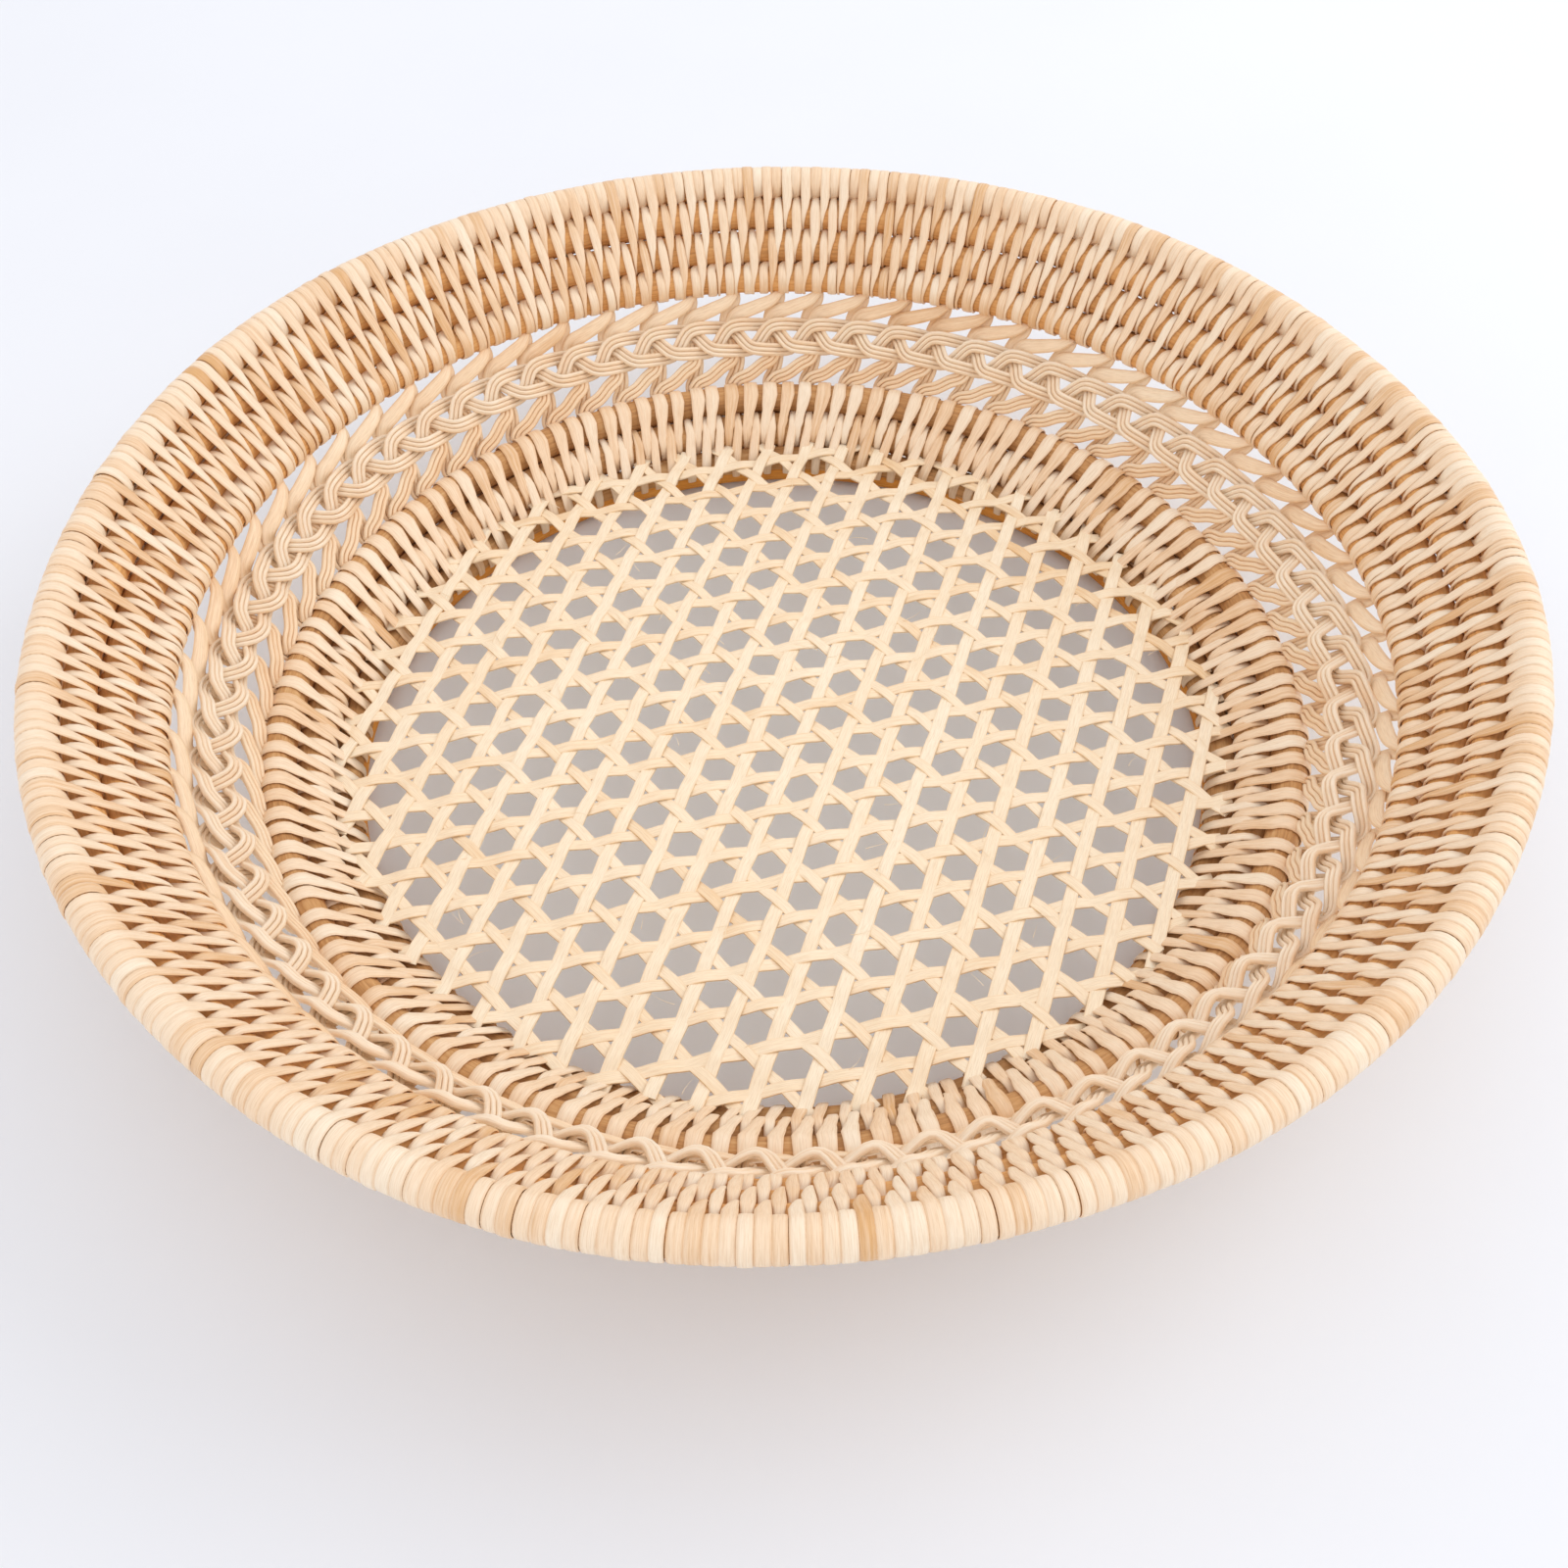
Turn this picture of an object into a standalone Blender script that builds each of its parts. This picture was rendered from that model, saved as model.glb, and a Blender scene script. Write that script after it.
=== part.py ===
"""A round coiled-cane basket: wrapped rim, wall, inner band and foot, a braided openwork
band between them, and a hexagonal cane bottom. Metres, +Z up, with the origin on the
ground under the middle."""

import math

import bmesh
import bpy
from mathutils import Matrix, Vector

# Overall sizes
OUTER_RADIUS = 0.175  # to the outside of the rim
HEIGHT = 0.0712  # ground to the top of the rim
FOOT_RADIUS = 0.1128  # to the middle of the foot's rod

# Slopes of the two coiled bands, measured from the ground
WALL_SLOPE = math.radians(48.5)
BAND_SLOPE = math.radians(41.5)
WALL_COILS = 4  # the rim and the three coils under it

# Coils: a rod across its flats, and the strip that binds it
WALL_ROD = 0.0072
BAND_ROD = 0.0078
BINDING_THICKNESS = 0.00065
CLEARANCE = 0.0003  # between pieces that touch

# Openwork band: two crossed canes, a braid of three leads, two crossed canes
UNITS = 72  # openings around each row, a multiple of three
BRAID_WIDTH = 0.0098
INNER_LATTICE_SHARE = 0.524  # of the width that the braid leaves to the two lattices
OUTER_CANE_SHARE = 0.35  # a cane's width, of its lattice's width
INNER_CANE_SHARE = 0.29
CANE_THICKNESS = 0.0008
LEAD_WIDTH = 0.0024
LEAD_THICKNESS = 0.0011
LEAD_RISE_SHARE = 0.93  # how far a lead swings above and below the band, of its width

# Hexagonal cane bottom
HOLE_PITCH = 0.0128  # between the middles of neighbouring holes
STRIP_WIDTH = 0.003
SHEET_THICKNESS = 0.0012
SHEET_BORDER = 0.0012  # least material outside the outermost holes
SHEET_TURN = math.radians(11.0)  # of a row of holes, from +X

# Faceting
RING_STEPS = 28
SIDES = 6
SHARP_ANGLE = math.radians(35)

COLOURS = {
    "rod": (0.42, 0.25, 0.13, 1.0),
    "binding": (0.80, 0.60, 0.40, 1.0),
    "lattice": (0.78, 0.56, 0.37, 1.0),
    "braid": (0.82, 0.62, 0.43, 1.0),
    "bottom": (0.86, 0.70, 0.50, 1.0),
}


def clear_scene():
    for item in list(bpy.data.objects):
        bpy.data.objects.remove(item, do_unlink=True)


def material(name, colour, roughness):
    made = bpy.data.materials.new(name)
    made.use_nodes = True
    shader = made.node_tree.nodes["Principled BSDF"]
    shader.inputs["Base Color"].default_value = colour
    shader.inputs["Roughness"].default_value = roughness
    shader.inputs["Metallic"].default_value = 0.0
    return made


def add_object(name, mesh, finish):
    mesh.materials.append(finish)
    mesh.shade_smooth()
    mesh.set_sharp_from_angle(angle=SHARP_ANGLE)
    made = bpy.data.objects.new(name, mesh)
    bpy.context.scene.collection.objects.link(made)
    return made


def finished_mesh(name, bm):
    bmesh.ops.recalc_face_normals(bm, faces=bm.faces)
    mesh = bpy.data.meshes.new(name)
    bm.to_mesh(mesh)
    bm.free()
    return mesh


def corner_radius(across_flats):
    return across_flats / 2 / math.cos(math.pi / SIDES)


def section_reach(across_flats, slope, direction):
    """How far a six-sided section with a flat facing slope extends towards direction."""
    corner = corner_radius(across_flats)
    turns = [slope + math.pi / SIDES + 2 * math.pi * i / SIDES for i in range(SIDES)]
    return max(corner * math.cos(turn - direction) for turn in turns)


def facet_sag(radius):
    """How far a ring's facets fall inside its true circle."""
    return radius * (1 - math.cos(math.pi / RING_STEPS))


def bound_width(rod):
    """A coil across its flats, outside its binding."""
    return rod + 2 * (CLEARANCE + BINDING_THICKNESS)


class Coil:
    """One ring of the basket: its centre line, rod size and the way its flats face."""

    def __init__(self, name, radius, height, rod, slope, opening):
        self.name = name
        self.radius = radius
        self.height = height
        self.rod = rod
        self.slope = slope  # the direction that one flat faces
        self.opening = opening  # the flat that its binding leaves open
        self.width = bound_width(rod)

    def reach(self, direction):
        return section_reach(self.width, self.slope, direction)

    def centre(self):
        return Vector((self.radius, self.height))

    def open_towards(self, direction):
        """Opens the binding on the flat nearest to a direction."""
        step = 2 * math.pi / SIDES
        self.opening = self.slope + step * round((direction - self.slope) / step)


def next_coil(name, below, direction, rod, slope, opening):
    """A coil that lies against another one, in the given direction from it."""
    width = bound_width(rod)
    near = section_reach(width, slope, direction + math.pi)
    step = below.reach(direction) + near + CLEARANCE
    radius = below.radius + step * math.cos(direction)
    height = below.height + step * math.sin(direction)
    return Coil(name, radius, height, rod, slope, opening)


def wall_coils():
    width = bound_width(WALL_ROD)
    out = section_reach(width, WALL_SLOPE, 0.0)
    up = section_reach(width, WALL_SLOPE, math.pi / 2)
    down = WALL_SLOPE + math.pi
    rim = Coil("rim", OUTER_RADIUS - out, HEIGHT - up, WALL_ROD, WALL_SLOPE, down)
    coils = [rim]
    for number in range(2, WALL_COILS + 1):
        name = f"wall_{number}"
        coils.append(next_coil(name, coils[-1], down, WALL_ROD, WALL_SLOPE, down))
    return coils


def band_coils():
    """The foot, which has a flat underside, then the lower coil and the shoulder."""
    flat = math.pi / 2
    half = bound_width(BAND_ROD) / 2
    foot = Coil("foot", FOOT_RADIUS, half, BAND_ROD, flat, flat - math.pi / 3)
    back = BAND_SLOPE + math.pi
    lower = next_coil("band_lower", foot, BAND_SLOPE, BAND_ROD, BAND_SLOPE, back)
    shoulder = next_coil("shoulder", lower, BAND_SLOPE, BAND_ROD, BAND_SLOPE, BAND_SLOPE)
    return foot, lower, shoulder


def spun_ring(name, outline):
    """Turns a closed outline of (radius, height) points about +Z."""
    bm = bmesh.new()
    corners = [bm.verts.new((radius, 0.0, height)) for radius, height in outline]
    edges = [bm.edges.new((a, b)) for a, b in zip(corners, corners[1:] + corners[:1])]
    bmesh.ops.spin(
        bm,
        geom=corners + edges,
        cent=(0, 0, 0),
        axis=(0, 0, 1),
        dvec=(0, 0, 0),
        angle=2 * math.pi,
        steps=RING_STEPS,
        use_merge=True,
        use_duplicate=False,
    )
    bmesh.ops.remove_doubles(bm, verts=bm.verts, dist=1e-6)
    return finished_mesh(name, bm)


def around(coil, across_flats, start, corners):
    """Corners of a six-sided section, counted anticlockwise from a flat's first corner."""
    corner = corner_radius(across_flats)
    points = []
    for i in range(corners):
        turn = start + math.pi / SIDES + 2 * math.pi * i / SIDES
        radius = coil.radius + corner * math.cos(turn)
        points.append((radius, coil.height + corner * math.sin(turn)))
    return points


def build_rod(coil, finish):
    name = f"{coil.name}_rod"
    outline = around(coil, coil.rod, coil.slope, SIDES)
    add_object(name, spun_ring(name, outline), finish)


def build_binding(coil, finish):
    """A wrapping around the rod, open on the flat where its stitches pass to the next piece."""
    name = f"{coil.name}_binding"
    outside = around(coil, coil.width, coil.opening, SIDES)
    inside = around(coil, coil.rod + 2 * CLEARANCE, coil.opening, SIDES)
    add_object(name, spun_ring(name, outside + inside[::-1]), finish)


class Openwork:
    """The sloping line between the last wall coil and the shoulder, open at both ends."""

    def __init__(self, wall, shoulder):
        self.origin = wall.centre()
        run = shoulder.centre() - wall.centre()
        self.along = run.normalized()
        self.across = Vector((self.along.y, -self.along.x))  # up, towards the inside
        length = run.length
        down = math.atan2(self.along.y, self.along.x)
        up = down + math.pi
        wall.open_towards(down)
        shoulder.open_towards(up)
        wall_rod = section_reach(wall.rod, wall.slope, down)
        shoulder_rod = section_reach(shoulder.rod, shoulder.slope, up)
        self.top = wall_rod + CLEARANCE + facet_sag(wall.radius)
        self.bottom = length - shoulder_rod - CLEARANCE
        end = length - shoulder.reach(up)
        lattices = end - self.top - BRAID_WIDTH
        inner = lattices * INNER_LATTICE_SHARE
        self.outer_cane = (lattices - inner) * OUTER_CANE_SHARE
        self.inner_cane = inner * INNER_CANE_SHARE
        self.braid_end = end - inner
        self.braid_start = self.braid_end - BRAID_WIDTH

    def point(self, distance, rise, angle):
        """A point so far down the slope, so far above it, at an angle around the basket."""
        flat = self.origin + self.along * distance + self.across * rise
        return Vector((flat.x * math.cos(angle), flat.x * math.sin(angle), flat.y))


def swept_ribbon(name, openwork, route, width, thickness):
    """A closed ribbon whose route is a list of (distance, rise, angle) around the band."""
    path = [openwork.point(*stop) for stop in route]
    bm = bmesh.new()
    rings = []
    for i, (distance, rise, angle) in enumerate(route):
        above = openwork.point(distance, rise + thickness, angle)
        up = (above - path[i]).normalized()
        travel = (path[(i + 1) % len(path)] - path[i - 1]).normalized()
        side = travel.cross(up).normalized() * (width / 2)
        lift = up * (thickness / 2)
        places = (side + lift, lift - side, -side - lift, side - lift)
        rings.append([bm.verts.new(path[i] + place) for place in places])
    for ring, after in zip(rings, rings[1:] + rings[:1]):
        for k in range(len(ring)):
            other = (k + 1) % len(ring)
            bm.faces.new((ring[k], ring[other], after[other], after[k]))
    return finished_mesh(name, bm)


def build_lattice(prefix, openwork, start, end, width, finish):
    """Two zigzag canes: the legs that lean one way lie over the legs that lean the other."""
    lift = (CANE_THICKNESS + CLEARANCE) / 2
    tip = 0.12  # of a leg, at each end, where the cane turns over
    unit = 2 * math.pi / UNITS
    for cane, label in enumerate("ab"):
        route = []
        for leg in range(UNITS):
            first = (cane + leg) * unit
            down = leg % 2 == 0
            for share in (tip, 1 - tip):
                depth = share if down else 1 - share
                rise = lift if down else -lift
                distance = start + (end - start) * depth
                route.append((distance, rise, first + share * unit))
        name = f"{prefix}_cane_{label}"
        mesh = swept_ribbon(name, openwork, route, width, CANE_THICKNESS)
        add_object(name, mesh, finish)


def build_braid(openwork, finish):
    """Three flat leads, each a third of a turn of the braid behind the last."""
    middle = (openwork.braid_start + openwork.braid_end) / 2
    swing = (BRAID_WIDTH - LEAD_WIDTH) / 2
    rise = LEAD_WIDTH * LEAD_RISE_SHARE
    stops = 4  # for each full turn of a lead across the braid and back
    turns = UNITS // 3
    for lead in range(3):
        route = []
        for i in range(turns * stops):
            share = (i + 0.5) / stops
            phase = 2 * math.pi * share
            angle = 2 * math.pi * (share + lead / 3) / turns
            distance = middle + swing * math.cos(phase)
            route.append((distance, rise * math.sin(2 * phase), angle))
        name = f"braid_lead_{lead + 1}"
        mesh = swept_ribbon(name, openwork, route, LEAD_WIDTH, LEAD_THICKNESS)
        add_object(name, mesh, finish)


def add_spline(curve, points):
    spline = curve.splines.new("POLY")
    spline.points.add(len(points) - 1)
    for point, (x, y) in zip(spline.points, points):
        point.co = (x, y, 0.0, 1.0)
    spline.use_cyclic_u = True


def polygon(x, y, radius, corners, turn):
    angles = [turn + 2 * math.pi * i / corners for i in range(corners)]
    return [(x + radius * math.cos(a), y + radius * math.sin(a)) for a in angles]


def hole_middles(limit):
    """Middles of the hexagonal holes, whose rows lie a pitch apart in three directions."""
    row = HOLE_PITCH * math.sqrt(3) / 2
    reach = int(limit / row) + 2
    middles = []
    for j in range(-reach, reach + 1):
        for i in range(-2 * reach, 2 * reach + 1):
            place = Vector((HOLE_PITCH * (i + j / 2), row * j))
            place.rotate(Matrix.Rotation(SHEET_TURN, 2))
            if place.length <= limit:
                middles.append(place)
    return middles


def build_bottom(foot, lower, finish):
    """The cane sheet rests on the foot and reaches into the groove under the lower coil."""
    underside = 2 * foot.height + CLEARANCE
    top = underside + SHEET_THICKNESS
    drop = lower.height - top
    edge = lower.radius - math.sqrt(max(corner_radius(lower.width) ** 2 - drop**2, 0.0))
    radius = edge - CLEARANCE - facet_sag(edge)
    row = HOLE_PITCH * math.sqrt(3) / 2
    hole = (row - STRIP_WIDTH) / 2 / math.cos(math.pi / 6)
    curve = bpy.data.curves.new("bottom_outline", "CURVE")
    curve.dimensions = "2D"
    curve.fill_mode = "BOTH"
    curve.extrude = SHEET_THICKNESS / 2
    add_spline(curve, polygon(0, 0, radius, RING_STEPS, 0.0))
    for place in hole_middles(radius - hole - SHEET_BORDER):
        add_spline(curve, polygon(place.x, place.y, hole, 6, SHEET_TURN))
    shape = bpy.data.objects.new("cane_bottom", curve)
    shape.location.z = underside + SHEET_THICKNESS / 2
    curve.materials.append(finish)
    bpy.context.scene.collection.objects.link(shape)


def main():
    clear_scene()
    rod = material("brown_rod", COLOURS["rod"], 0.7)
    binding = material("binding_cane", COLOURS["binding"], 0.5)
    lattice = material("lattice_cane", COLOURS["lattice"], 0.55)
    braid = material("braid_cane", COLOURS["braid"], 0.5)
    bottom = material("bottom_cane", COLOURS["bottom"], 0.5)
    wall = wall_coils()
    foot, lower, shoulder = band_coils()
    openwork = Openwork(wall[-1], shoulder)
    for coil in (*wall, shoulder, lower, foot):
        build_rod(coil, rod)
        build_binding(coil, binding)
    width = openwork.outer_cane
    outer_start = openwork.top + width / 2
    outer_end = openwork.braid_start - CLEARANCE - width / 2
    build_lattice("outer", openwork, outer_start, outer_end, width, lattice)
    width = openwork.inner_cane
    inner_start = openwork.braid_end + CLEARANCE + width / 2
    inner_end = openwork.bottom - width / 2
    build_lattice("inner", openwork, inner_start, inner_end, width, lattice)
    build_braid(openwork, braid)
    build_bottom(foot, lower, bottom)


main()
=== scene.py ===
"""Looks of a round coiled-cane basket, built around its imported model.

Metres, +Z up. Every strip, cane and rod is its own swept mesh: the wrapped wall, the braided
openwork band, the wrapped inner band and foot, and the hexagonal woven bottom."""

import copy
import math

import bpy
import numpy as np
from mathutils import Matrix, Vector


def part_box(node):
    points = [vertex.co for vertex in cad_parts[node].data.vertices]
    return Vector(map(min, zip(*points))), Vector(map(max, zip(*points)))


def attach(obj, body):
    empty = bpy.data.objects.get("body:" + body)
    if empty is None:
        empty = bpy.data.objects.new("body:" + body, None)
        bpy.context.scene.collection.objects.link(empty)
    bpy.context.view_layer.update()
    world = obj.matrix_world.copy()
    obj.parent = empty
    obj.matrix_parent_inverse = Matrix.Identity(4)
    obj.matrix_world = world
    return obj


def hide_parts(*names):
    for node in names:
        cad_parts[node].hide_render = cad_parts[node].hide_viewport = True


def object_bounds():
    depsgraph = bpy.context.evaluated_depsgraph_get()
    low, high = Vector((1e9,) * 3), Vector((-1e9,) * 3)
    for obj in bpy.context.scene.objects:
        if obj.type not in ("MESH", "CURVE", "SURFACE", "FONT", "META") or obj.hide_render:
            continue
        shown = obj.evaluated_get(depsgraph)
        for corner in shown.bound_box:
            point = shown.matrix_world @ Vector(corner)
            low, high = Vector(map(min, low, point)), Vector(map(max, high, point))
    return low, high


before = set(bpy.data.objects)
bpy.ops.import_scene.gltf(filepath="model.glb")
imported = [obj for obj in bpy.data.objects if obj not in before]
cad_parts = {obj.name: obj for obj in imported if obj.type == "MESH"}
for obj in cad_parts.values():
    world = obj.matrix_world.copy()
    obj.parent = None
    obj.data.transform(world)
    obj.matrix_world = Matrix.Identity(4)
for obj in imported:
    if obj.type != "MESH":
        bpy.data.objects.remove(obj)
CAD_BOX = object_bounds()
RANDOM = np.random.default_rng(11)
TAU = 2 * math.pi
SHARP_ANGLE = math.radians(52)  # between faces, past which an edge is creased

# What the hand leaves uneven at the rim: (size, waves around, phase)
SWELLS = ((0.0008, 2, 0.7), (0.0005, 3, -1.1), (0.0003, 7, 0.4))
SAGS = ((0.0007, 2, 2.0), (0.0004, 5, 0.9))

# Coils, from the rim inwards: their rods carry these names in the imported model
WALL_COILS = ("rim", "wall_2", "wall_3", "wall_4")
BAND_COILS = ("shoulder", "band_lower", "foot")
WALL_STITCHES = 180  # around each row
BAND_STITCHES = 144
WALL_SLANT = -0.06  # of a stitch's pitch, while it crosses from coil to coil
BAND_SLANT = 0.36
BAND_START = 0.01  # the angle of the first stitch under the shoulder
STRIP_THICKNESS = 0.0005
STRIP_LIFT = 0.0001  # between a rod and the strip over it
LIFT_SPREAD = 0.00009  # from stitch to stitch
WIDTH_SPREAD = 0.05  # from stitch to stitch, of the width
TONE_SPREAD = 0.22
ROD_SHARE = 0.92  # a rod's thickness through the wall, of the six-sided one that it stands for
ROD_GAP = 0.00005  # left between the rods of neighbouring coils

# Widths of a stitch in pitches, at the stages of its turn that pair_outline names
RIM_WIDTHS = (
    (0.0, 0.515), (0.5, 0.505), (0.85, 0.38), (1.2, 0.15), (1.7, 0.15), (2.2, 0.5), (4.0, 0.515),
)
WALL_WIDTHS = (
    (0.0, 0.49), (0.5, 0.49), (0.85, 0.38), (1.2, 0.15), (1.7, 0.15), (2.2, 0.5),
    (3.0, 0.5), (3.4, 0.3), (3.6, 0.3), (4.0, 0.49),
)
SHOULDER_WIDTHS = (
    (0.0, 0.76), (0.3, 0.68), (0.55, 0.52), (0.85, 0.56), (1.4, 0.34), (1.7, 0.34),
    (2.2, 0.48), (3.2, 0.58), (3.6, 0.64), (4.0, 0.76),
)
FOOT_WIDTHS = (
    (0.0, 0.5), (0.6, 0.58), (1.0, 0.58), (1.5, 0.44), (2.2, 0.46), (3.0, 0.48), (3.4, 0.32),
    (3.5, 0.32), (3.95, 0.48),
)
FOOT_RING_RADIUS = 0.1115  # to the middle of the bare ring under the bottom's border
FOOT_RING_HEIGHT = 0.0029
FOOT_RING_HALF = 0.0024

# Openwork band
UNITS = 72  # openings around each row
BRAID_HALF = 0.0058
BRAID_TILT = 0.34  # how much flatter than the slope the braid lies, its inner edge up
LEAD_CANE = 0.00136  # one of the three canes side by side in a lead
BUNDLE_CANE = 0.00138  # one of the three canes side by side in an inner crossing
LATTICE_WIDTH = 0.0040
LATTICE_THICKNESS = 0.0008

# Hexagonal bottom
HOLE_PITCH = 0.0128
BOTTOM_TURN = math.radians(11.0)
BOTTOM_STRIPS = (0.0033, 0.0035, 0.003)  # the widths of its three families of strips
# Mean tone of each family; the 60° family is paler as a painted highlight, for the gloss on the strips
# that lie on top.
BOTTOM_TONES_AND_HIGHLIGHT = (0.45, 0.75, 0.45)
BOTTOM_RISES = (0.0, 0.0001, -0.0001)  # of each family, over the middle of the weave
BOTTOM_THICKNESS = 0.00055
BOTTOM_TUCK = 0.0014  # how far the strips reach past the bottom's plate, into the stitches
LAST_STRIP_GAP = 0.0025  # from the border to the middle of the outermost strip
STRIP_STEP = 0.0011  # between the stops along a strip
WEAVE_RISE = 0.00042  # of a strip over a crossing, and as much down under the next
FIBRES = 70

# Sections of a strip, clockwise seen along its run: (across, rise) in widths and thicknesses
FLAT = np.array([
    (-0.5, 0.45), (-0.42, 0.85), (-0.15, 1.0), (0.15, 1.0),
    (0.42, 0.85), (0.5, 0.45), (0.45, 0.0), (-0.45, 0.0),
])
CRISP = np.array([
    (-0.5, 0.3), (-0.47, 0.88), (-0.25, 1.0), (0.25, 1.0),
    (0.47, 0.88), (0.5, 0.3), (0.47, 0.0), (-0.47, 0.0),
])
ROUND = np.array([
    (-0.5 * math.cos(TAU * k / 8), 0.5 * math.sin(TAU * k / 8)) for k in range(8)
])


# ---------------------------------------------------------------- shape helpers


def unit(vectors):
    return vectors / np.maximum(np.linalg.norm(vectors, axis=-1, keepdims=True), 1e-12)


def smooth(low, high, value):
    """Runs from 0 to 1 between two values, gently at both ends."""
    share = np.clip((np.asarray(value, float) - low) / (high - low), 0.0, 1.0)
    return share * share * (3 - 2 * share)


def waves(angle, sizes):
    return sum(size * np.cos(count * angle + phase) for size, count, phase in sizes)


def handmade(points):
    """The slow unevenness of a round shape bent by hand, more at the rim than at the foot."""
    angle = np.arctan2(points[:, 1], points[:, 0])
    reach = np.hypot(points[:, 0], points[:, 1])
    share = points[:, 2] / CAD_BOX[1].z
    scale = 1 + share * waves(angle, SWELLS) / np.maximum(reach, 1e-6)
    height = points[:, 2] + share * waves(angle, SAGS)
    return np.column_stack((points[:, 0] * scale, points[:, 1] * scale, height))


def quads_between_rings(stops, spans, sides):
    """The corners of every quad between rings of points that follow one another."""
    here = np.arange(spans)[:, None]
    after = (here + 1) % stops
    k = np.arange(sides)[None, :]
    other = (k + 1) % sides
    corners = (here * sides + k, here * sides + other, after * sides + other, after * sides + k)
    return np.stack(corners, -1).reshape(-1, 4)


def grain_of_quads(places):
    """Rows of (u, v) for each quad, from the (u, v) grids of its four corners."""
    return np.stack([np.stack(place, -1) for place in places], -2).reshape(-1, 4, 2)


class Weave:
    """Gathers swept strips into one mesh, with grain coordinates and a tone for each strip."""

    def __init__(self, name):
        self.name = name
        self.points = []
        self.quads = []
        self.grain = []
        self.tones = []
        self.count = 0

    def strip(self, path, up, width, thickness, tone, closed=False, section=FLAT):
        """Sweeps a section along a path; up is the way that the strip's skin faces."""
        path = np.asarray(path, float)
        stops = len(path)
        sides = len(section)
        if closed:
            travel = np.roll(path, -1, 0) - np.roll(path, 1, 0)
            ahead = np.roll(path, -1, 0)
        else:
            travel = np.gradient(path, axis=0)
            ahead = path[1:]
        travel = unit(travel)
        side = unit(np.cross(travel, up))
        lift = np.cross(side, travel)
        width = np.broadcast_to(width, stops)
        thickness = np.broadcast_to(thickness, stops)
        across = width[:, None] * section[None, :, 0]
        rise = thickness[:, None] * section[None, :, 1]
        rings = path[:, None] + side[:, None] * across[..., None] + lift[:, None] * rise[..., None]
        self.points.append(rings.reshape(-1, 3))
        self.tones.append(np.repeat(np.broadcast_to(tone, stops), sides))
        lengths = np.linalg.norm(ahead - path[:len(ahead)], axis=1)
        along = np.concatenate(([0.0], np.cumsum(lengths))) + RANDOM.random() * 3.0
        spans = stops if closed else stops - 1
        self.quads.append(quads_between_rings(stops, spans, sides) + self.count)
        v_here = np.broadcast_to(section[:, 0] + 0.5, (spans, sides))
        v_other = np.roll(v_here, -1, 1)
        u_here = np.broadcast_to(along[:spans, None], (spans, sides))
        u_after = np.broadcast_to(along[1:spans + 1, None], (spans, sides))
        places = ((u_here, v_here), (u_here, v_other), (u_after, v_other), (u_after, v_here))
        self.grain.append(grain_of_quads(places))
        if not closed:
            self.close_end(0, sides, along[0], False)
            self.close_end((stops - 1) * sides, sides, along[-1], True)
        self.count += stops * sides

    def close_end(self, first, sides, along, last):
        """Closes an open end with quads between the section's two halves."""
        for k in range(sides // 2 - 1):
            quad = [k, sides - 1 - k, sides - 2 - k, k + 1]
            if last:
                quad.reverse()
            self.quads.append(np.array([quad]) + first + self.count)
            self.grain.append(np.full((1, 4, 2), (along, 0.5)))

    def build(self, finish, slot, *nodes):
        """Makes the object, dressed, riding on the basket and standing for CAD nodes."""
        points = handmade(np.concatenate(self.points))
        quads = np.concatenate(self.quads)
        mesh = bpy.data.meshes.new(self.name)
        mesh.vertices.add(len(points))
        mesh.vertices.foreach_set("co", points.astype(np.float32).ravel())
        mesh.loops.add(quads.size)
        mesh.loops.foreach_set("vertex_index", quads.astype(np.int32).ravel())
        mesh.polygons.add(len(quads))
        mesh.polygons.foreach_set("loop_start", np.arange(0, quads.size, 4, dtype=np.int32))
        grain = mesh.uv_layers.new(name="grain")
        grain.data.foreach_set("uv", np.concatenate(self.grain).astype(np.float32).ravel())
        tone = mesh.attributes.new("tone", "FLOAT", "POINT")
        tone.data.foreach_set("value", np.concatenate(self.tones).astype(np.float32))
        mesh.update(calc_edges=True)
        mesh.validate()
        mesh.shade_smooth()
        mesh.set_sharp_from_angle(angle=SHARP_ANGLE)
        mesh.materials.append(finish)
        made = bpy.data.objects.new(self.name, mesh)
        bpy.context.scene.collection.objects.link(made)
        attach(made, "root")
        if nodes:
            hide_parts(*nodes)


def around_axis(flat, angle):
    """Turns (radius, height) rows to their angles around the basket."""
    return np.stack((flat[..., 0] * np.cos(angle), flat[..., 0] * np.sin(angle),
                     np.broadcast_to(flat[..., 1], np.shape(angle))), -1)


class Coil:
    """A ring of the basket: its rod's middle, and half its size through and along the wall."""

    def __init__(self, name):
        low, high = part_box(f"{name}_rod")
        half = (high.z - low.z) / 2
        self.name = name
        self.centre = np.array((high.x - half, (high.z + low.z) / 2))
        self.thick = half * ROD_SHARE
        self.before = self.thick
        self.after = self.thick

    def around(self, turn, lift):
        """A place on the rod's outline, and the way it faces: 0 is inwards, a quarter is along."""
        turn = np.asarray(turn)[..., None]
        half = np.where(np.sin(turn) < 0, self.before, self.after)
        place = self.inner * np.cos(turn) * (self.thick + lift)
        place = place + self.along * np.sin(turn) * (half + lift)
        facing = self.inner * np.cos(turn) * half + self.along * np.sin(turn) * self.thick
        return self.centre + place, unit(facing)


def coils_side_by_side(names):
    """The coils of a wall, from the top down, their rods pressed flat where they meet."""
    coils = [Coil(name) for name in names]
    run = coils[1].centre - coils[0].centre
    for coil in coils:
        coil.along = unit(run)
        coil.inner = np.array((coil.along[1], -coil.along[0]))
    for coil, following in zip(coils, coils[1:]):
        coil.after = float(np.linalg.norm(run)) / 2 - ROD_GAP
        following.before = coil.after
    return coils


# ---------------------------------------------------------------- wrapped coils


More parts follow.
